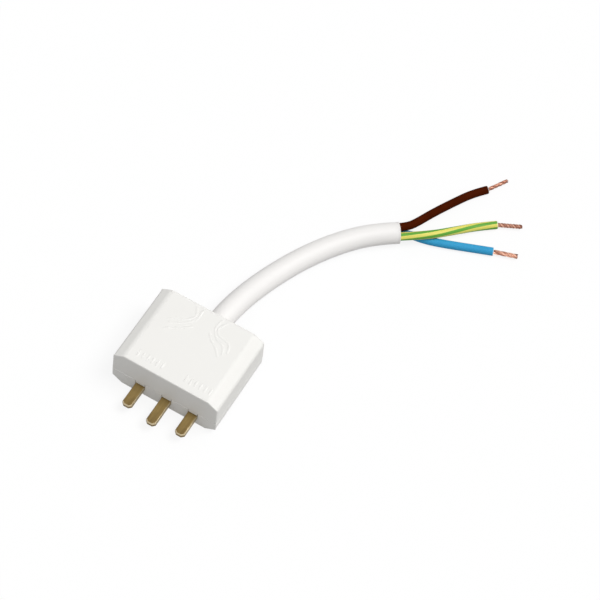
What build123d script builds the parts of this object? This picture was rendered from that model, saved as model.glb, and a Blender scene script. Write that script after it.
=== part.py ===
"""Flat ceiling light plug with three brass blades and a short stub of three core cable.

The white casing is two moulded half shells, a shallow lower one and a deep upper one,
joined at a seam. The blades sit in open notches in the lower shell's front wall, and tabs
on the upper shell close the notches above them. The cable leaves the back wall at the
seam, lies on the same surface as the casing, and ends in three stripped cores.

Millimetres. X runs along the row of blades, Y from the blades to the cable, and Z up.
The origin is on the resting surface, midway between the earth blade's tip and the back.
"""

import os
from math import cos, hypot, pi, radians, sin, sqrt, tan

from build123d import *

# Casing, its height split by the seam
casing_width = 39.6
casing_length = 31.1
casing_height = 16.9
seam_height = 6.5
wall = 1.8
draft = 1.0
facet_across = 3.7
facet_down = 2.4
back_rounding = 1.0
front_rounding = 0.4
lower_seam_break = 0.35
upper_seam_break = 0.1

# Blades, their reach counted from the casing's pin face
pin_pitch = 10.0
pin_row_offset = 1.0
pin_width = 3.7
pin_thickness = 1.7
pin_bottom = 3.1
side_pin_reach = 8.8
earth_pin_reach = 10.4
pin_tip_corner = 0.9
pin_edge_bevel = 0.35
shoulder_width = 6.2
shoulder_length = 3.0
barrel_diameter = 3.2
barrel_length = 3.4
bore_depth = 4.0
bore_end_room = 0.4

# Cable and its cores
cable_diameter = 8.0
cable_offset = 0.5
sheath_inside = 8.0
core_diameter = 2.9
conductor_diameter = 1.6
bare_length = 8.6
outer_bend_room = 4.8
middle_bend_room = 3.6
cores_turn_at_plug = -30.0
cores_turn_at_end = 60.0

# Clearances
fit_gap = 0.05
tab_side_gap = 0.25
tab_above_pin = 0.2
half_gap = 0.3
cable_gap = 0.1
core_gap = 0.1
bore_gap = 0.2

# Walls inside the shells
rib = 1.2
barrier = 1.0
press_bar = 1.8
press_bar_inset = 0.7
cradle_width = 17.0
lower_cradles = (2.6, 6.2)
upper_cradles = (4.4,)
tongue_width = 0.7
tongue_height = 0.8
peg_diameter = 2.4
peg_boss_diameter = 4.8
peg_rise = 3.0
peg_from_side = 5.2
peg_from_back = 5.6

# Places that follow from the sizes above
pin_face = (earth_pin_reach - casing_length) / 2
back_face = pin_face + casing_length
casing_middle = (pin_face + back_face) / 2
pin_top = pin_bottom + pin_thickness
pin_axis = pin_bottom + pin_thickness / 2
pin_places = [pin_row_offset + step * pin_pitch for step in (-1, 0, 1)]
barrier_places = [pin_row_offset + step * pin_pitch / 2 for step in (-1, 1)]
inside_front = pin_face + wall
shoulder_front = inside_front + fit_gap
shoulder_back = shoulder_front + shoulder_length
stop_rib_front = shoulder_back + fit_gap
stop_rib_back = stop_rib_front + rib
barrel_mouth = stop_rib_back + barrel_length
notch_width = pin_width + 2 * fit_gap
tab_width = notch_width - 2 * tab_side_gap
cable_hole = cable_diameter / 2 + cable_gap
facet_narrowing = facet_across + facet_down - hypot(facet_across, facet_down)
inner_across = facet_across - wall * facet_narrowing / facet_down
inner_down = facet_down - wall * facet_narrowing / facet_across
peg_places = [
    (side * (casing_width / 2 - peg_from_side), back_face - peg_from_back) for side in (-1, 1)
]


def outer_half(depth, seam_break):
    """Half of the casing's block, standing on the seam with its sides leaning in."""
    with BuildPart() as block:
        with BuildSketch():
            with Locations((0, casing_middle - wall / 2)):
                Rectangle(casing_width, casing_length + wall)
        extrude(amount=depth, taper=draft)
        top = block.faces().sort_by(Axis.Z)[-1]
        chamfer(top.edges().filter_by(Axis.Y), length=facet_across, length2=facet_down, reference=top)
        split(bisect_by=Plane.XZ.offset(-pin_face), keep=Keep.BOTTOM)
        for face, rounding in ((-1, back_rounding), (0, front_rounding)):
            end = block.faces().sort_by(Axis.Y)[face]
            fillet(end.edges().filter_by(lambda e: e.center().Z > seam_break), radius=rounding)
        seam_outline = block.faces().sort_by(Axis.Z)[0].outer_wire().edges()
        chamfer(seam_outline, length=seam_break)
    return block.part


def inner_half(depth):
    """The room inside one half of the casing, with straight sides so that the blades seat square."""
    with BuildPart() as room:
        with BuildSketch():
            with Locations((0, casing_middle)):
                Rectangle(casing_width - 2 * wall, casing_length - 2 * wall)
        extrude(amount=depth - wall)
        top = room.faces().sort_by(Axis.Z)[-1]
        chamfer(top.edges().filter_by(Axis.Y), length=inner_across, length2=inner_down, reference=top)
    return room.part


def weld_rim(width, height):
    """The strip that joins the shells, along the middle of their side and back walls."""
    with BuildPart() as rim:
        with BuildSketch(Plane.XY.offset(seam_height)):
            for side in (wall - width, wall + width):
                with Locations((0, casing_middle)):
                    Rectangle(
                        casing_width - side,
                        casing_length - side,
                        mode=Mode.ADD if side < wall else Mode.SUBTRACT,
                    )
            with Locations((0, pin_face)):
                Rectangle(casing_width, 4 * wall, mode=Mode.SUBTRACT)
        extrude(amount=height)
    return rim.part


def slab(width, front, back, low, high, middle=0):
    """A plain block between two depths and two heights, added to the part being made."""
    with Locations((middle, (front + back) / 2, (low + high) / 2)):
        return Box(width, back - front, high - low)


seam_place = Location((0, 0, seam_height))
lower_block = seam_place * mirror(outer_half(seam_height, lower_seam_break), about=Plane.XY)
lower_room = seam_place * mirror(inner_half(seam_height), about=Plane.XY)
upper_block = seam_place * outer_half(casing_height - seam_height, upper_seam_break)
upper_room = seam_place * inner_half(casing_height - seam_height)
tongue = weld_rim(tongue_width, tongue_height)
groove = weld_rim(tongue_width + 2 * fit_gap, tongue_height + 2 * fit_gap)

# Way of the cable through the back wall and over the cradles
with BuildPart() as cable_way:
    with BuildSketch(Plane.XZ.offset(-back_face - wall)):
        with Locations((cable_offset, seam_height)):
            Circle(cable_hole)
    extrude(amount=sheath_inside + 2 * wall)

# Lower shell's inside, trimmed to its block
with BuildPart() as lower_ribs:
    slab(casing_width, inside_front, stop_rib_front, 0, pin_bottom)
    slab(casing_width, stop_rib_front, stop_rib_back, 0, seam_height - half_gap)
    for place in barrier_places:
        slab(barrier, stop_rib_front, barrel_mouth, 0, seam_height - half_gap, place)
    for behind in lower_cradles:
        start = back_face - behind - rib
        slab(cradle_width, start, start + rib, 0, seam_height - half_gap, cable_offset)
    with BuildSketch():
        with Locations(*peg_places):
            Circle(peg_boss_diameter / 2)
    extrude(amount=seam_height)
    for place in pin_places:
        with BuildSketch(Plane.XZ.offset(-stop_rib_back)):
            with Locations((place, pin_axis)):
                Circle(barrel_diameter / 2 + fit_gap)
            with Locations((place, (pin_axis + seam_height) / 2)):
                Rectangle(barrel_diameter + 2 * fit_gap, seam_height - pin_axis)
        extrude(amount=stop_rib_back - shoulder_back, mode=Mode.SUBTRACT)
    add(lower_block, mode=Mode.INTERSECT)

# Lower shell, which carries the blades and the cable
with BuildPart() as lower_shell:
    add(lower_block)
    add(lower_room, mode=Mode.SUBTRACT)
    add(lower_ribs.part)
    add(tongue)
    with BuildSketch(Plane.XY.offset(seam_height)):
        with Locations(*peg_places):
            Circle(peg_diameter / 2)
    extrude(amount=peg_rise)
    for place in pin_places:
        with Locations((place, pin_face + wall / 2, (pin_bottom + seam_height) / 2)):
            Box(notch_width, wall, seam_height - pin_bottom, mode=Mode.SUBTRACT)
    add(cable_way.part, mode=Mode.SUBTRACT)
lower_shell.part.label = "lower_shell"

# Upper shell's inside, trimmed to its block
with BuildPart() as upper_ribs:
    press_front = inside_front + press_bar_inset
    press_width = 2 * pin_pitch + shoulder_width
    slab(press_width, press_front, press_front + press_bar, seam_height, casing_height, pin_row_offset)
    for place in barrier_places:
        slab(barrier, inside_front, barrel_mouth, seam_height + half_gap, casing_height, place)
    for behind in upper_cradles:
        start = back_face - behind - rib
        slab(cradle_width, start, start + rib, seam_height + half_gap, casing_height, cable_offset)
    with BuildSketch(Plane.XY.offset(seam_height)):
        with Locations(*peg_places):
            Circle(peg_boss_diameter / 2)
    extrude(amount=casing_height - seam_height)
    add(upper_block, mode=Mode.INTERSECT)

# Upper shell, which presses on the blades and closes their notches
with BuildPart() as upper_shell:
    add(upper_block)
    add(upper_room, mode=Mode.SUBTRACT)
    add(upper_ribs.part)
    over_pins = pin_top + fit_gap
    slab(press_width, press_front, press_front + press_bar, over_pins, seam_height, pin_row_offset)
    for place in pin_places:
        slab(tab_width, pin_face, inside_front, pin_top + tab_above_pin, seam_height, place)
    add(groove, mode=Mode.SUBTRACT)
    with BuildSketch(Plane.XY.offset(seam_height)):
        with Locations(*peg_places):
            Circle(peg_diameter / 2 + fit_gap)
    extrude(amount=peg_rise + half_gap, mode=Mode.SUBTRACT)
    add(cable_way.part, mode=Mode.SUBTRACT)
upper_shell.part.label = "upper_shell"


def make_pin(place, reach):
    """A flat brass blade with a bevelled tip, shoulders, and a drilled shank for its core."""
    tip = pin_face - reach
    with BuildPart() as pin:
        with BuildSketch(Plane.XY.offset(pin_bottom)):
            with Locations((place, (tip + shoulder_front) / 2)):
                Rectangle(pin_width, shoulder_front - tip)
        extrude(amount=pin_thickness)
        tip_edges = pin.faces().sort_by(Axis.Y)[0].edges().filter_by(Axis.Z)
        chamfer(tip_edges, length=pin_tip_corner)
        level_edges = pin.edges().filter_by(Plane.XY)
        free_edges = level_edges.filter_by(lambda e: e.center().Y < shoulder_front - fit_gap)
        chamfer(free_edges, length=pin_edge_bevel)
        slab(shoulder_width, shoulder_front, shoulder_back, pin_bottom, pin_top, place)
        with BuildSketch(Plane.XZ.offset(-shoulder_back)):
            with Locations((place, pin_axis)):
                Circle(barrel_diameter / 2)
        extrude(amount=shoulder_back - barrel_mouth)
        with BuildSketch(Plane.XZ.offset(-barrel_mouth)):
            with Locations((place, pin_axis)):
                Circle(conductor_diameter / 2 + fit_gap)
        extrude(amount=bore_depth, mode=Mode.SUBTRACT)
    return pin.part


# Route of the cable from the casing's back wall: across, outwards, and the share of its fall
cable_route = [
    (0.05, 4.0, 0.0),
    (1.9, 17.0, 0.37),
    (5.0, 30.0, 0.94),
    (10.3, 42.6, 1.0),
    (17.6, 54.4, 1.0),
    (26.0, 64.1, 1.0),
    (33.5, 69.65, 1.0),
]
# Routes of the cores past the sheath: across, outwards, and the lift over the surface
brown_route = [
    (35.09, 72.38, 3.9),
    (36.72, 76.33, 3.3),
    (39.3, 84.1, 1.8),
    (43.3, 93.4, 0.4),
    (47.3, 100.8, 0.0),
    (50.93, 104.96, 0.0),
]
green_yellow_route = [
    (42.91, 74.25, 3.4),
    (49.2, 81.6, 1.9),
    (55.3, 89.1, 0.0),
    (60.6, 93.33, 0.0),
]
blue_route = [
    (35.27, 72.14, 0.95),
    (41.9, 73.7, 0.05),
    (48.6, 76.05, 0.0),
    (56.2, 79.0, 0.0),
    (64.55, 82.47, 0.0),
]
cable_lay = cable_diameter / 2 + fit_gap
core_lay = core_diameter / 2 + fit_gap
cable_exit = Vector(cable_offset, back_face, seam_height)
cable_points = [cable_exit - Vector(0, sheath_inside, 0)] + [
    cable_exit + Vector(across, out, -fall * (seam_height - cable_lay))
    for across, out, fall in cable_route
]


def core_points(place, bend_room, own_turn, free_route):
    """A core's corners: its shank, its bends in the casing, its side of the cable, its free end."""
    ring = (core_diameter + core_gap) / sqrt(3)
    sheathed = []
    for number, point in enumerate(cable_points[:-1]):
        before = cable_points[max(number - 1, 0)]
        ahead = (cable_points[number + 1] - before).normalized()
        along = number / (len(cable_points) - 1)
        turn = own_turn + cores_turn_at_plug + along * (cores_turn_at_end - cores_turn_at_plug)
        left = Vector(-ahead.Y, ahead.X, 0).normalized()
        sheathed.append(point + left * ring * cos(radians(turn)) + Vector(0, 0, ring * sin(radians(turn))))
    start = Vector(place, barrel_mouth + fit_gap, pin_axis)
    room = Vector(0, bend_room, 0)
    free = [
        Vector(cable_offset + across, back_face + out, core_lay + lift)
        for across, out, lift in free_route
    ]
    return [start, start + room, sheathed[0] - room] + sheathed[1:] + free


def bend_radii(points, free_start=False):
    """The largest arc that each corner's two runs leave room for, one radius a corner."""
    runs = [(after - before).length for before, after in zip(points, points[1:])]
    if free_start:
        runs[0] *= 2
    radii = []
    for number in range(1, len(points) - 1):
        turn = (points[number] - points[number - 1]).get_angle(points[number + 1] - points[number])
        radii.append(0.45 * min(runs[number - 1], runs[number]) / tan(radians(turn / 2)))
    return radii


def make_cord(name, points, radii, outside, bore=0):
    """A round tube or rod that follows straight runs joined by tangent arcs."""
    with BuildPart() as cord:
        with BuildLine():
            path = FilletPolyline(*points, radius=radii)
        with BuildSketch(Plane(origin=path @ 0, z_dir=path % 0)):
            Circle(outside / 2)
            if bore:
                Circle(bore / 2, mode=Mode.SUBTRACT)
        sweep(path=path)
    expected = pi / 4 * (outside**2 - bore**2) * path.length
    share = cord.part.volume / expected
    print(f"{name}: {path.length:.1f} mm long, radii", [round(r, 1) for r in radii], f"volume {share:.4f}")
    cord.part.label = name
    return cord.part


cores_across = (core_diameter + core_gap) * 2 / sqrt(3) + core_diameter
cable_sheath = make_cord(
    "cable_sheath", cable_points, bend_radii(cable_points), cable_diameter, cores_across + 2 * bore_gap
)
pieces = [lower_shell.part, upper_shell.part, cable_sheath]
wires = [
    ("line_pin", "brown", side_pin_reach, outer_bend_room, brown_route),
    ("earth_pin", "green_yellow", earth_pin_reach, middle_bend_room, green_yellow_route),
    ("neutral_pin", "blue", side_pin_reach, outer_bend_room, blue_route),
]
for number, (pin_name, colour, reach, bend_room, free_route) in enumerate(wires):
    pin = make_pin(pin_places[number], reach)
    pin.label = pin_name
    points = core_points(pin_places[number], bend_room, 120 * number, free_route)
    radii = bend_radii(points, free_start=True)
    core = make_cord(f"{colour}_core", points, radii, core_diameter, conductor_diameter + 2 * fit_gap)
    in_bore = points[0] - Vector(0, bore_depth - bore_end_room, 0)
    tip = points[-1] + (points[-1] - points[-2]).normalized() * bare_length
    strands = make_cord(
        f"{colour}_conductor", [in_bore] + points[1:-1] + [tip], radii, conductor_diameter
    )
    pieces += [pin, core, strands]

os.makedirs("parts", exist_ok=True)
for piece in pieces:
    export_step(piece, f"parts/{piece.label}.step")
    box = piece.bounding_box()
    print(piece.label, round(piece.volume, 1), [round(v, 2) for v in (*box.min, *box.max)])
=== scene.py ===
import random
from math import atan2, cos, pi, radians, sin, sqrt

import bmesh
import bpy
from mathutils import Matrix, Vector


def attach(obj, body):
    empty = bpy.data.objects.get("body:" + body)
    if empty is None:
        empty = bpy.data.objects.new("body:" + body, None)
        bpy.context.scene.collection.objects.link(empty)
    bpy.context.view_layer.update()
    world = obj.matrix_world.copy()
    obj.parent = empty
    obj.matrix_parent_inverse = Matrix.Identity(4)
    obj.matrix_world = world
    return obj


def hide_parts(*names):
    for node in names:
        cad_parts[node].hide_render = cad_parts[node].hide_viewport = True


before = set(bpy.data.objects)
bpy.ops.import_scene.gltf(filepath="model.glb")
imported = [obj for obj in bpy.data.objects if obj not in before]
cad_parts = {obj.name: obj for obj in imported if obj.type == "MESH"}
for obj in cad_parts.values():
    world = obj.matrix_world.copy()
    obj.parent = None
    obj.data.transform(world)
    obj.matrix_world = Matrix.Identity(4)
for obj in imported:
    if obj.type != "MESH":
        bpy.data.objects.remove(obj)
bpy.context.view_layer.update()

# Studio
# The plug lies on white paper in a bright, even room. A broad lamp stands high on its right,
# so that the face with the blades is in soft shade, and a weak one stands over the camera.

mm = 0.001
room_brightness = 0.42
bright_white = (1, 1, 1, 1)
paper_tone = (0.95, 0.95, 0.95, 1)
bounced_tone = (0.45, 0.45, 0.45, 1)
paper_glow = 0.86
floor_reach = 3
camera_place = Vector((163.73, -334.28, 638.32)) * mm
camera_turn = radians(20.80)
camera_dip = radians(57.22)
camera_roll = radians(10.32)


class Shade:
    """A shader socket: sums written with it add Math nodes, and node() adds any other."""

    def __init__(self, tree, socket=None):
        self.tree = tree
        self.socket = socket

    def node(self, kind, settings, sockets, output=0):
        """Adds a node: its settings first, then the values or links of its sockets."""
        made = self.tree.nodes.new("ShaderNode" + kind)
        for name, value in settings.items():
            setattr(made, name, value)
        for name, value in sockets.items():
            if isinstance(value, Shade):
                self.tree.links.new(value.socket, made.inputs[name])
            else:
                made.inputs[name].default_value = value
        return Shade(self.tree, made.outputs[output])

    def into(self, shader, name):
        """Feeds a socket of a shader that is already there."""
        self.tree.links.new(self.socket, shader.inputs[name])

    def maths(self, operation, first, second):
        return self.node("Math", {"operation": operation}, {0: first, 1: second})

    def __add__(self, other):
        return self.maths("ADD", self, other)

    def __radd__(self, other):
        return self.maths("ADD", other, self)

    def __sub__(self, other):
        return self.maths("SUBTRACT", self, other)

    def __rsub__(self, other):
        return self.maths("SUBTRACT", other, self)

    def __mul__(self, other):
        return self.maths("MULTIPLY", self, other)

    def __rmul__(self, other):
        return self.maths("MULTIPLY", other, self)


def seen_directly(tree):
    """1 for what the camera, a reflection or clear plastic shows, 0 for light on a surface."""
    camera, gloss, clear = (
        Shade(tree).node("LightPath", {}, {}, f"Is {kind} Ray")
        for kind in ("Camera", "Glossy", "Transmission")
    )
    return camera.maths("MAXIMUM", camera, gloss.maths("MAXIMUM", gloss, clear))


room = bpy.data.worlds.new("bright_room")
bpy.context.scene.world = room
room.use_nodes = True
room_light = room.node_tree.nodes["Background"]
room_light.inputs["Color"].default_value = bright_white
backdrop = (1 - room_brightness) * seen_directly(room.node_tree)
(room_brightness + backdrop).into(room_light, "Strength")

paper = bpy.data.materials.new("white_paper")
paper.use_nodes = True
shown = seen_directly(paper.node_tree)
bounce = shown.node("BsdfDiffuse", {}, {"Color": bounced_tone})
sheet = shown.node("BsdfDiffuse", {}, {"Color": paper_tone})
glow = shown.node("Emission", {}, {"Color": bright_white, "Strength": 1.0})
# A Mix Shader's sockets are its factor and then its two shaders.
lit_sheet = shown.node("MixShader", {}, {0: paper_glow, 1: sheet, 2: glow})
surface = shown.node("MixShader", {}, {0: shown, 1: bounce, 2: lit_sheet})
surface.into(paper.node_tree.nodes["Material Output"], "Surface")

table = bmesh.new()
bmesh.ops.create_grid(table, x_segments=1, y_segments=1, size=floor_reach)
table_mesh = bpy.data.meshes.new("floor")
table.to_mesh(table_mesh)
table.free()
table_mesh.materials.append(paper)
floor = bpy.data.objects.new("floor", table_mesh)
bpy.context.collection.objects.link(floor)


def hang_lamp(name, energy, spread, side):
    """A far lamp on that side of the plug. Its spread is the angle that it fills, in degrees."""
    lamp = bpy.data.lights.new(name, "SUN")
    lamp.energy = energy
    lamp.angle = radians(spread)
    lamp_stand = bpy.data.objects.new(name, lamp)
    lamp_stand.rotation_euler = Vector(side).to_track_quat("Z", "Y").to_euler()
    bpy.context.collection.objects.link(lamp_stand)


hang_lamp("broad_lamp", energy=1.88, spread=30, side=(0.252, 0.11, 0.504))
hang_lamp("front_lamp", energy=0.34, spread=40, side=(0.22, -0.40, 0.88))

camera = bpy.data.cameras.new("camera")
camera.lens = 133.9
camera.sensor_width = 36
camera_stand = bpy.data.objects.new("camera", camera)
camera_stand.matrix_world = (
    Matrix.Translation(camera_place)
    @ Matrix.Rotation(camera_turn, 4, "Z")
    @ Matrix.Rotation(pi / 2 - camera_dip, 4, "X")
    @ Matrix.Rotation(camera_roll, 4, "Z")
)
bpy.context.collection.objects.link(camera_stand)
bpy.context.scene.camera = camera_stand
bpy.context.scene.view_settings.view_transform = "Standard"

# Casing shells
# Two half shells moulded in white thermoplastic and welded along the seam. The mould gave
# them a fine satin skin and rounded the long edges of their facets.

shell_grey = (0.835, 0.825, 0.795)
shell_white = (0.865, 0.856, 0.828)
shell_rounding = 0.8 * mm
tab_zone = 5.1 * mm
tab_lift = 0.3 * mm


def start_finish(name, **plain):
    """A new material, its shader with these plain values set, and its object coordinates."""
    material = bpy.data.materials.new(name)
    material.use_nodes = True
    shader = material.node_tree.nodes["Principled BSDF"]
    for socket, value in plain.items():
        shader.inputs[socket.replace("_", " ")].default_value = value
    return material, shader, Shade(material.node_tree).node("TexCoord", {}, {}, "Object")


def noise(place, waves, detail=2.0):
    """Soft noise from 0 to 1, with that many waves to the metre."""
    return place.node("TexNoise", {}, {"Vector": place, "Scale": waves, "Detail": detail})


def blend(share, low, high):
    """A colour between two, by a share from 0 to 1. Each is three numbers or a tone."""
    low, high = (tone if isinstance(tone, Shade) else (*tone, 1) for tone in (low, high))
    # Sockets 6 and 7 and output 2 are the ones for colours.
    return share.node("Mix", {"data_type": "RGBA"}, {0: share, 6: low, 7: high}, 2)


def emboss(shader, height, strength, depth):
    """Gives the surface this height as fine relief in its shading."""
    bump = height.node("Bump", {}, {"Strength": strength, "Distance": depth, "Height": height})
    bump.into(shader, "Normal")


casing_plastic, shader, place = start_finish("casing_plastic", Specular_IOR_Level=0.35)
clouds = noise(place, waves=55, detail=3)
patches = noise(place, waves=160)
skin = noise(place, waves=2600, detail=3)
blend(clouds, shell_grey, shell_white).into(shader, "Base Color")
(0.46 + 0.10 * patches + 0.06 * skin).into(shader, "Roughness")
emboss(shader, skin, strength=0.25, depth=0.03 * mm)


def add_piece(name, shape, material, slot, *nodes):
    """Makes the shape a piece that rides with the plug, stands for the nodes and wears the finish."""
    mesh = bpy.data.meshes.new(name)
    shape.to_mesh(mesh)
    shape.free()
    mesh.materials.append(material)
    piece = bpy.data.objects.new(name, mesh)
    bpy.context.collection.objects.link(piece)
    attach(piece, "root")
    if nodes:
        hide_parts(*nodes)
    return piece


def soften(node, chosen, width, segments):
    """A copy of a solid, with the chosen ones of its sharp edges rounded."""
    same_place = 0.002 * mm
    flat_angle = radians(0.8)
    sharp_angle = radians(20)
    crease_angle = radians(32)
    small_face = 2.5 * mm * mm
    shape = bmesh.new()
    shape.from_mesh(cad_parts[node].data)
    bmesh.ops.remove_doubles(shape, verts=shape.verts, dist=same_place)
    bmesh.ops.dissolve_limit(
        shape, angle_limit=flat_angle, verts=shape.verts, edges=shape.edges, delimit={"NORMAL"}
    )
    edges = [
        edge for edge in shape.edges
        if len(edge.link_faces) == 2 and edge.calc_face_angle(0) > sharp_angle and chosen(edge)
    ]
    rounded = bmesh.ops.bevel(
        shape, geom=edges, offset=width, offset_type="OFFSET", segments=segments, profile=0.5,
        affect="EDGES", clamp_overlap=True, material=-1,
    )["faces"]
    for face in shape.faces:
        face.smooth = face in rounded or face.calc_area() < small_face
    for edge in shape.edges:
        edge.smooth = len(edge.link_faces) == 2 and edge.calc_face_angle(0) < crease_angle
    bmesh.ops.triangulate(shape, faces=shape.faces)
    return shape


def facet_edge(edge):
    """Whether this is one of the long edges of the facets, on the outside of the casing."""
    facet_start, side_start = 15.5 * mm, 19.0 * mm
    lower_face, upper_face = 0.5 * mm, 16.5 * mm
    side_bottom, side_top = 3 * mm, 14 * mm
    shortest = 15 * mm
    run = edge.verts[1].co - edge.verts[0].co
    middle = (edge.verts[0].co + edge.verts[1].co) / 2
    beside_face = abs(middle.x) > facet_start and not lower_face < middle.z < upper_face
    beside_side = abs(middle.x) > side_start and not side_bottom < middle.z < side_top
    lengthwise = abs(run.normalized().y) > 0.95
    return (beside_face or beside_side) and lengthwise and run.length > shortest


for node in ("lower_shell", "upper_shell"):
    shape = soften(node, facet_edge, shell_rounding, segments=4)
    if node == "upper_shell":
        # Its tabs end a little above the blades, which leaves a dark line at each root.
        tab_ends = [vertex for vertex in shape.verts if vertex.co.z < tab_zone]
        bmesh.ops.translate(shape, verts=tab_ends, vec=(0, 0, tab_lift))
    add_piece(node + "_moulding", shape, casing_plastic, "casing", node)

# Blades
# Three flat brass blades, stamped and drawn through a die: a dull olive gold skin with a fine
# grain along the blade. Its colour is painted paler near the casing, to offset the casing's shaded
# face seen in the blade's reflection, and the bevels that face the lamp are painted bright as a
# highlight.

dull_brass = (0.065, 0.036, 0.007)
pale_brass = (0.45, 0.315, 0.115)
painted_highlight_tone = (0.50, 0.42, 0.28, 1)
blade_tip = -19.5 * mm
blade_root = -11.5 * mm
blade_rounding = 0.06 * mm
shortest_rounded = 0.5 * mm
slant = 0.3


def stretch(place, x, y, z):
    """These coordinates times three numbers. A pattern runs long where the number is small."""
    return place.node("Mapping", {}, {"Vector": place, "Scale": (x, y, z)})


def axis(place, name):
    """The X, Y or Z of these coordinates."""
    return place.node("SeparateXYZ", {}, {"Vector": place}, name)


def slope(number, low, high):
    """0 below low, 1 above high and a smooth slope between."""
    sockets = {"Value": number, "From Min": low, "From Max": high}
    return number.node("MapRange", {"interpolation_type": "SMOOTHSTEP"}, sockets)


# A bright brass that is a painted highlight, put on the bevels that face the lamp.
painted_highlight_brass = start_finish(
    "painted_highlight_brass", Metallic=1.0, Base_Color=painted_highlight_tone, Roughness=0.3
)[0]
drawn_brass, shader, place = start_finish("drawn_brass", Metallic=0.45, Specular_IOR_Level=0.3)
grain = noise(stretch(place, x=2000, y=90, z=2000), waves=1, detail=3)
patches = noise(place, waves=420, detail=3)
# Painted light: the colour gets paler towards the casing, offsetting the shaded reflection near the
# root.
painted_root_light = slope(axis(place, "Y"), blade_tip, blade_root)
grain_and_painted_light = 0.25 * patches + 0.40 * grain + 0.35 * painted_root_light
blend(grain_and_painted_light, dull_brass, pale_brass).into(shader, "Base Color")
(0.36 + 0.16 * grain).into(shader, "Roughness")
emboss(shader, grain, strength=0.3, depth=0.02 * mm)


def blade_edge(edge):
    """Whether this edge of a blade is long enough to be rounded."""
    return edge.calc_length() > shortest_rounded


for node in ("line_pin", "earth_pin", "neutral_pin"):
    shape = soften(node, blade_edge, blade_rounding, segments=2)
    for face in shape.faces:
        # Bevels facing up and to the right or front get the painted highlight brass.
        facing_lamp_side = face.normal.x > slant or face.normal.y < -slant
        face.material_index = face.normal.z > slant and facing_lamp_side
    blade = add_piece(node.replace("pin", "blade"), shape, drawn_brass, "blades", node)
    blade.data.materials.append(painted_highlight_brass)

# Cores
# Three insulated wires run from the blades' shanks, round each other through the cable, and
# fan out of its cut end. Each has a glossy vinyl skin with faint lines from the extruder, and
# ends in four bunches of seven bare copper strands that are twisted together.

# Corners and routes are in millimetres, and draw_line makes metres of them.
exit_hole = Vector((0.5, 20.75, 6.5))
clamped_length = 8
cable_fall = 2.45
cable_corners = [exit_hole - Vector((0, clamped_length, 0))]
for across, out, fall in (
    (0.05, 4.0, 0.0), (1.97, 16.98, 0.37), (5.45, 29.85, 0.94), (10.74, 42.38, 1.0),
    (17.85, 54.22, 1.0), (26.07, 64.03, 1.0), (33.57, 69.55, 1.0),
):
    cable_corners.append(exit_hole + Vector((across, out, -fall * cable_fall)))
core_thickness = 2.9
core_radius = 0.51 * core_thickness * mm
core_bore = 0.85 * mm
core_height = 1.5
core_gap = 0.1
core_sides = 32
dull_copper = (0.20, 0.06, 0.035)
bright_copper = (0.95, 0.58, 0.43)
stripe_twist = radians(-3000)
stripe_lead = radians(8)
bunch_tones = (1.0, 0.5, 0.85, 0.3)
strands_in_bunch = 7


def draw_line(corners):
    """The smooth line that a cord takes through its corners, as closely spaced points in metres."""
    curve = bpy.data.curves.new("line", "CURVE")
    curve.dimensions = "3D"
    curve.resolution_u = 24
    spline = curve.splines.new("NURBS")
    spline.points.add(len(corners) - 1)
    for point, corner in zip(spline.points, corners):
        point.co = (*(corner * mm), 1)
    spline.order_u = 3
    spline.use_endpoint_u = True
    drawing = bpy.data.objects.new("line", curve)
    drawn = bpy.data.meshes.new_from_object(drawing)
    line = [vertex.co.copy() for vertex in drawn.vertices]
    bpy.data.objects.remove(drawing)
    bpy.data.meshes.remove(drawn)
    return line


def line_length(line):
    return sum((after - before).length for before, after in zip(line, line[1:]))


def stand_on(line, distance):
    """A place on the line, X to its left, Y up and Z along it."""
    left_over = distance
    for before, after in zip(line, line[1:]):
        step = (after - before).length
        if left_over <= step or after is line[-1]:
            break
        left_over -= step
    along = (after - before).normalized()
    left = Vector((-along.y, along.x, 0)).normalized()
    up = along.cross(left)
    turn = Matrix((left, up, along)).transposed().to_4x4()
    return Matrix.Translation(before + along * left_over) @ turn


def sweep_tube(line, stations, sides, twist=0.0, lead=0.0):
    """An open tube along the line, with its two rims. A station is a distance and a radius.

    Stations on the way back make the bore. The lay attribute holds how far round the cord a
    vertex is, as a cosine and a sine that turn with the twist, and how far from the cord's end.
    """
    tube = bmesh.new()
    lay = tube.verts.layers.float_vector.new("lay")
    length = line_length(line)
    stood = None
    for distance, radius in stations:
        stand = stand_on(line, distance) @ Matrix.Scale(radius, 4)
        if stood is None:
            ring = bmesh.ops.create_circle(tube, segments=sides, radius=1, matrix=stand)["verts"]
            rim = first_rim = tube.edges[:]
        else:
            grown = bmesh.ops.extrude_edge_only(tube, edges=rim)["geom"]
            ring = [made for made in grown if isinstance(made, bmesh.types.BMVert)]
            new_ones = set(ring)
            rim = [
                made for made in grown
                if isinstance(made, bmesh.types.BMEdge) and new_ones.issuperset(made.verts)
            ]
            bmesh.ops.transform(tube, matrix=stand @ stood.inverted(), verts=ring)
        stood = stand
        back = stand.inverted()
        for vertex in ring:
            spot = back @ vertex.co
            angle = atan2(spot.y, spot.x) + twist * (length - distance) + lead
            vertex[lay] = (cos(angle), sin(angle), length - distance)
    return tube, first_rim, rim


def finish_tube(tube, first_rim, last_rim, capped):
    """Closes the tube, with a cap at each end or with the bore's mouth joined to the outside."""
    crease_angle = radians(50)
    if capped:
        bmesh.ops.holes_fill(tube, edges=first_rim + last_rim, sides=0)
    else:
        bmesh.ops.bridge_loops(tube, edges=first_rim + last_rim)
    bmesh.ops.recalc_face_normals(tube, faces=tube.faces)
    for face in tube.faces:
        face.smooth = True
    for edge in tube.edges:
        edge.smooth = edge.calc_face_angle(0) < crease_angle
    return tube


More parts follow.
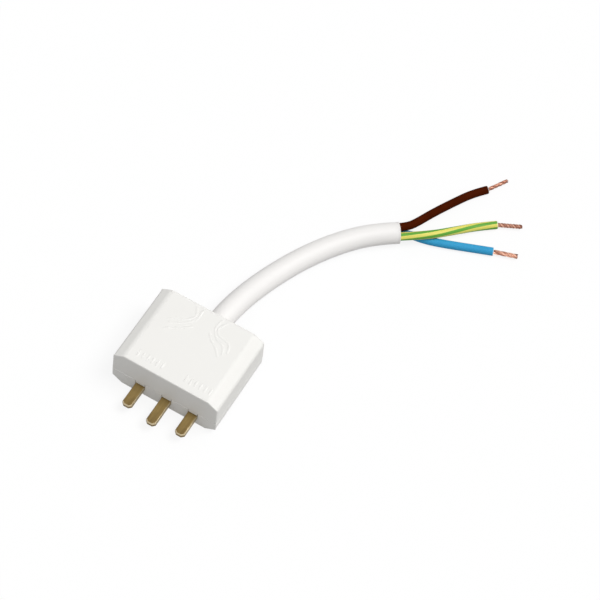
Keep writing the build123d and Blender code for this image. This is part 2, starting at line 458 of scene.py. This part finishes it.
def insulated(length, outside, bore):
    """Stations of a skin with a clean cut end and a slightly rounded rim."""
    spacing = 1.2 * mm
    outside_share, bore_share = 0.998, 0.985
    steps = int(length / spacing)
    outer = [(length * step / steps * outside_share, outside) for step in range(steps + 1)]
    rim = [
        (length - 0.10 * mm, outside - 0.02 * mm),
        (length, outside - 0.12 * mm),
        (length, bore + 0.06 * mm),
        (length - 0.08 * mm, bore),
    ]
    inner = [(length * step / steps * bore_share, bore) for step in range(steps, -1, -4)]
    return outer + rim + inner + [(0.0, bore)]


def skin_lines(material):
    """The material's lay attribute, and a noise on it in long fine lines down the cord."""
    lay = Shade(material.node_tree).node("Attribute", {"attribute_name": "lay"}, {}, "Vector")
    return lay, noise(stretch(lay, x=9, y=9, z=14), waves=1, detail=3)


def cut_rim(lay, tone):
    """The tone, but pale at the very end, where the cutter has bruised the vinyl."""
    bruised_vinyl = (0.85, 0.82, 0.76)
    past_rim = slope(axis(lay, "Z"), 0.12 * mm, 0.32 * mm)
    return blend(0.75 * (1 - past_rim), tone, bruised_vinyl)


def vinyl_finish(name, dark, pale, roughness, gloss):
    """Coloured vinyl between two close tones, with extruder lines and a fine skin."""
    material, shader, place = start_finish(name, Specular_IOR_Level=gloss)
    lay, lines = skin_lines(material)
    mottle = noise(place, waves=240)
    skin = noise(place, waves=1500)
    tone = blend(0.5 * mottle + 0.5 * lines, dark, pale)
    cut_rim(lay, tone).into(shader, "Base Color")
    (roughness + 0.10 * lines + 0.05 * skin).into(shader, "Roughness")
    emboss(shader, lines, strength=0.25, depth=0.05 * mm)
    return material


brown_vinyl = vinyl_finish(
    "brown_vinyl", dark=(0.026, 0.0035, 0.0005), pale=(0.090, 0.0125, 0.002),
    roughness=0.36, gloss=0.004,
)
blue_vinyl = vinyl_finish(
    "blue_vinyl", dark=(0.014, 0.26, 0.50), pale=(0.070, 0.42, 0.73),
    roughness=0.34, gloss=0.1,
)

striped_vinyl, shader, place = start_finish("green_yellow_vinyl", Specular_IOR_Level=0.12)
lay, lines = skin_lines(striped_vinyl)
side = axis(lay, "X")
# The side is the cosine of the angle round the core, and this is that of four times the angle.
four_stripes = 8 * (side * side) * (side * side - 1) + 1
wander = 0.3 * (noise(place, waves=380) - 0.5)
green = slope(four_stripes + wander, low=-0.1, high=0.15)
yellow_tone = blend(lines, (0.71, 0.65, 0.115), (0.82, 0.76, 0.19))
green_tone = blend(lines, (0.085, 0.33, 0.040), (0.17, 0.43, 0.065))
cut_rim(lay, blend(green, yellow_tone, green_tone)).into(shader, "Base Color")
(0.27 + 0.10 * lines).into(shader, "Roughness")
emboss(shader, lines + 0.5 * green, strength=0.25, depth=0.05 * mm)

bare_copper, shader, place = start_finish("bare_copper", Metallic=1.0)
fresh = place.node("Attribute", {"attribute_name": "fresh"}, {}, "Fac")
blend(fresh, dull_copper, bright_copper).into(shader, "Base Color")
(0.40 - 0.18 * fresh).into(shader, "Roughness")


def core_corners(pin_across, bend_room, own_turn, free_route):
    """A core's corners from its blade's shank, through its side of the cable, to its free end."""
    shank_out, shank_height = -0.8, 3.95
    first_turn, whole_turn = -30, 96
    ring = (core_thickness + core_gap) / sqrt(3)
    sheathed = []
    for number, corner in enumerate(cable_corners[:-1]):
        ahead = (cable_corners[number + 1] - cable_corners[max(number - 1, 0)]).normalized()
        turn = radians(own_turn + first_turn + whole_turn * number / (len(cable_corners) - 1))
        left = Vector((-ahead.y, ahead.x, 0)).normalized()
        sheathed.append(corner + left * ring * cos(turn) + Vector((0, 0, ring * sin(turn))))
    shank = Vector((pin_across, shank_out, shank_height))
    room = Vector((0, bend_room, 0))
    free = [
        Vector((exit_hole.x + across, exit_hole.y + out, core_height + lift))
        for across, out, lift in free_route
    ]
    return [shank, shank + room, sheathed[0] - room] + sheathed[1:] + free


def strand_line(bundle, reach, bunch, number, strand, pitch):
    """A strand's winding line: round the middle of its bunch, which winds round the bundle's."""
    bunch_out = 4.2 * strand
    strand_out = 2.05 * strand if number else 0
    bunch_pitch = 1.6 * pitch
    steps = 48
    line = []
    for step in range(steps + 1):
        distance = reach * step / steps
        round_bundle = 2 * pi * (bunch / len(bunch_tones) + distance / pitch)
        round_bunch = 2 * pi * (number / (strands_in_bunch - 1) + distance / bunch_pitch)
        across = bunch_out * cos(round_bundle) + strand_out * cos(round_bunch)
        up = bunch_out * sin(round_bundle) + strand_out * sin(round_bunch)
        line.append(stand_on(bundle, distance) @ Vector((across, up, 0)))
    return line


def twist_strands(end, tip, thickness, pitch, shine, seed):
    """Bunches of copper strands, twisted together, from inside the skin to uneven tips.

    The fresh attribute is how bright the copper is: each strand has its own, dull at the tip.
    """
    strands_across = 14.5
    unevenness, tip_reach = 0.35 * mm, 1.1 * mm
    tone_spread, tip_tone = 0.25, 0.1
    sides, steps = 6, 40
    dice = random.Random(seed)
    along = (tip - end).normalized()
    bundle = draw_line([end - along * 4, end - along * 1, end + along * 3, tip])
    strand = thickness * mm / strands_across
    strands = bmesh.new()
    for bunch, bunch_tone in enumerate(bunch_tones):
        for number in range(strands_in_bunch):
            reach = line_length(bundle) - abs(dice.gauss(0, 1)) * unevenness
            tone = bunch_tone + dice.uniform(-tone_spread, tone_spread)
            polish = min(max(tone, 0), 1) * shine
            line = strand_line(bundle, reach, bunch, number, strand, pitch * mm)
            length = line_length(line)
            stations = [(length * step / steps, strand) for step in range(steps + 1)]
            wire = finish_tube(*sweep_tube(line, stations, sides), capped=True)
            lay = wire.verts.layers.float_vector["lay"]
            fresh = wire.verts.layers.float.new("fresh")
            for vertex in wire.verts:
                vertex[fresh] = polish * min(tip_tone + vertex[lay].z / tip_reach, 1)
            piece = bpy.data.meshes.new("strand")
            wire.to_mesh(piece)
            wire.free()
            strands.from_mesh(piece)
            bpy.data.meshes.remove(piece)
    return strands


def lay_core(
    colour, vinyl, pin_across, bend_room, own_turn, route, tip, bundle, pitch, shine, seed
):
    """Adds a core's skin and its strands, as one cord that ends bare.

    It has its own turn round the cable's middle. The route is its free part, the tip is the
    strands' end, and the bundle and the pitch are how thick and how long their twist is.
    """
    line = draw_line(core_corners(pin_across, bend_room, own_turn, route))
    stations = insulated(line_length(line), core_radius, core_bore)
    tube = sweep_tube(line, stations, core_sides, stripe_twist, stripe_lead)
    name = colour + "_insulation"
    core = add_piece(name, finish_tube(*tube, capped=False), vinyl, name, colour + "_core")
    skin_end = Vector((exit_hole.x + route[-1][0], exit_hole.y + route[-1][1], core_height))
    bare_tip = Vector((exit_hole.x + tip[0], exit_hole.y + tip[1], core_height))
    strands = twist_strands(skin_end, bare_tip, bundle, pitch, shine, seed)
    wire = add_piece(colour + "_strands", strands, bare_copper, "copper", colour + "_conductor")


lay_core(
    "brown", brown_vinyl, pin_across=-9.0, bend_room=4.8, own_turn=0,
    route=(
        (35.02, 72.42, 3.9), (36.9, 76.26, 3.3), (39.5, 84.03, 1.8),
        (43.47, 93.33, 0.4), (47.35, 100.78, 0.0), (50.93, 104.96, 0.0),
    ),
    tip=(55.17, 112.48), bundle=1.42, pitch=7.0, shine=0.4, seed=1,
)
lay_core(
    "green_yellow", striped_vinyl, pin_across=1.0, bend_room=3.6, own_turn=120,
    route=((43.02, 73.95, 3.4), (49.4, 81.42, 2.0), (55.3, 89.1, 0.0), (60.6, 93.33, 0.0)),
    tip=(68.47, 97.48), bundle=1.65, pitch=4.2, shine=0.6, seed=2,
)
lay_core(
    "blue", blue_vinyl, pin_across=11.0, bend_room=4.8, own_turn=240,
    route=(
        (35.27, 72.0, 0.85), (41.96, 73.5, 0.05), (48.66, 75.9, 0.0),
        (56.2, 79.0, 0.0), (64.55, 82.47, 0.0),
    ),
    tip=(72.69, 85.36), bundle=1.72, pitch=9.0, shine=0.85, seed=3,
)

# Sheath
# The cable's white vinyl sheath, clamped between the shells and cut square at its far end. It
# swells just behind the casing, thins towards the end, and its cut rim is flared by the knife.

sheath_radius = 4.0
sheath_bore = 3.38 * mm
wall_end = 8.2
swell = 0.13
swell_reach = 3
thinning = 0.0043
outer_steps = 90
bore_steps = 30
outer_share = 0.996
bore_share = 0.99
sheath_sides = 64

white_vinyl = vinyl_finish(
    "white_vinyl", dark=(0.845, 0.828, 0.81), pale=(0.875, 0.86, 0.843),
    roughness=0.42, gloss=0.4,
)
line = draw_line(cable_corners)
length = line_length(line)
outer = []
for step in range(outer_steps + 1):
    distance = length * step / outer_steps
    past_wall = max(distance / mm - wall_end, 0)
    swollen = min(past_wall / swell_reach, 1) * swell
    outer.append((distance * outer_share, (sheath_radius + swollen - thinning * past_wall) * mm))
cut_radius = outer[-1][1]
rim = [
    (length - 0.25 * mm, cut_radius + 0.05 * mm),
    (length - 0.06 * mm, cut_radius + 0.03 * mm),
    (length, cut_radius - 0.14 * mm),
    (length, sheath_bore + 0.08 * mm),
    (length - 0.15 * mm, sheath_bore + 0.01 * mm),
]
bore = [
    (length * step / bore_steps * bore_share, sheath_bore) for step in range(bore_steps, -1, -1)
]
tube = finish_tube(*sweep_tube(line, outer + rim + bore, sheath_sides), capped=False)
sheath = add_piece("cable_jacket", tube, white_vinyl, "sheath", "cable_sheath")

# Relief
# The mould left low ridges on the upper shell's face: curves that spread from the cable towards
# the blades, and plain grip ribs near the blades' edge. The weld left a bead on part of the seam.

face_height = 16.9
ridge_radius = 1.0
ridge_depth = 0.885
ridge_height = face_height - ridge_depth
ridge_curves = (
    ((2.6, 13.3), (3.9, 11.3), (5.4, 9.9), (7.2, 8.9), (8.6, 7.4), (10.3, 5.5)),
    (
        (4.5, 19.7), (3.8, 17.8), (3.5, 15.6), (4.1, 14.0), (5.4, 12.3), (7.0, 11.3),
        (8.9, 10.7), (9.9, 9.6), (10.8, 7.0),
    ),
    (
        (6.9, 19.6), (5.6, 17.9), (4.7, 16.2), (4.7, 14.6), (6.0, 13.2), (8.2, 12.8),
        (10.2, 12.4), (11.4, 10.8), (11.8, 8.2),
    ),
    ((-2.4, 12.1), (-4.2, 10.4), (-6.0, 9.1), (-7.7, 8.0), (-9.5, 7.0), (-10.8, 5.9)),
    (
        (-3.15, 19.2), (-3.2, 17.4), (-3.0, 15.5), (-3.5, 13.9), (-4.9, 12.3), (-6.7, 10.9),
        (-8.8, 9.8), (-10.9, 8.6),
    ),
    (
        (-6.1, 19.6), (-4.9, 17.8), (-4.0, 16.0), (-4.4, 14.5), (-5.9, 13.1), (-8.1, 12.0),
        (-10.2, 11.0), (-11.8, 9.7),
    ),
)
rib_rows = (-8.0, 10.0)
rib_places = (-2.5, -1.5, -0.5, 0.5, 1.5, 2.5)
rib_pitch = 1.8
rib_reach = (-4.7, -6.4, -8.1)
bead_run = (-18.9, -15.0, -11.3)
bead_out = -10.32
bead_radius = 0.13
seam_height = 6.5


def add_ridge(shape, corners, radius=ridge_radius):
    """A round ridge along a line, most of it sunk in, and thinner by a seventh at both ends."""
    spacing, end_reach = 0.35 * mm, 0.9 * mm
    fewest_steps, sides = 8, 20
    end_share = 0.86
    line = draw_line([Vector(corner) for corner in corners])
    length = line_length(line)
    steps = max(int(length / spacing), fewest_steps)
    stations = []
    for step in range(steps + 1):
        distance = length * step / steps
        fullness = min(min(distance, length - distance) / end_reach, 1)
        share = end_share + (1 - end_share) * fullness
        stations.append((distance, radius * mm * share))
    ridge = finish_tube(*sweep_tube(line, stations, sides), capped=True)
    piece = bpy.data.meshes.new("ridge")
    ridge.to_mesh(piece)
    ridge.free()
    shape.from_mesh(piece)
    bpy.data.meshes.remove(piece)


relief = bmesh.new()
for curve in ridge_curves:
    add_ridge(relief, [(across, out, ridge_height) for across, out in curve])
for row in rib_rows:
    for rib in rib_places:
        add_ridge(relief, [(row + rib_pitch * rib, out, ridge_height) for out in rib_reach])
add_ridge(relief, [(across, bead_out, seam_height) for across in bead_run], bead_radius)
add_piece("face_relief", relief, casing_plastic, "casing")
